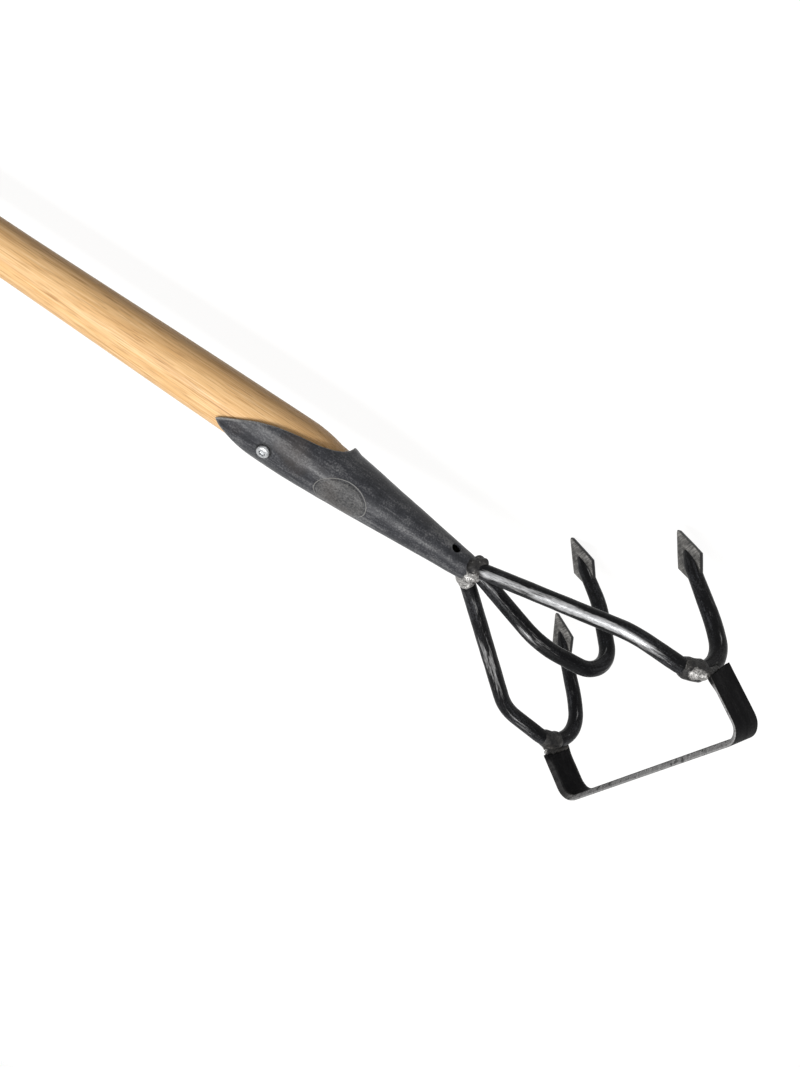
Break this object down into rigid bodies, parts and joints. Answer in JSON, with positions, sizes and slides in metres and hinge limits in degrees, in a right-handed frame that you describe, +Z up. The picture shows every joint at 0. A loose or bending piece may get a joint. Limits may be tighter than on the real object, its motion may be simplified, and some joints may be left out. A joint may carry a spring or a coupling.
{
  "type": "cultivator hoe",
  "caption": "Long-handled garden cultivator: hooked rod tines with diamond points and a sharpened stirrup blade, welded to a forged socket on a tapering wooden handle.",
  "frame": {"origin": "on the floor under the middle of the tool's box, with the tool lying on its middle point and on the rim of the handle's end, tines down and stirrup up", "axes": "+X along the tool towards the head (the handle's axis rises 2.06 degrees towards it), +Y to the left of a user who stands at the handle's end and looks along it, +Z up"},
  "size_m": [1.5854, 0.1578, 0.1322],
  "materials": {
    "ash_wood": "turned ash, oiled, satin, with fine straight grain",
    "forged_socket": "blue-grey forge scale, mottled, satin",
    "zinc_screw": "bright zinc plate",
    "black_rod": "black rolled rod, semi-gloss, rubbed bright in streaks",
    "ground_point": "ground flat steel, dull, with dark edges",
    "strap_steel": "black rolled strap, matt, with ground edges",
    "weld_metal": "uneven weld bead, silvery with brown heat tint"
  },
  "bodies": {
    "root": {"handle": "ash_wood", "socket": "forged_socket", "socket_screw": "zinc_screw", "centre_tine": "black_rod", "left_tine": "black_rod", "right_tine": "black_rod", "centre_point": "ground_point", "left_point": "ground_point", "right_point": "ground_point", "stirrup_blade": "strap_steel", "nose_weld": "weld_metal", "left_stirrup_weld": "weld_metal", "right_stirrup_weld": "weld_metal"}
  },
  "joints": []
}
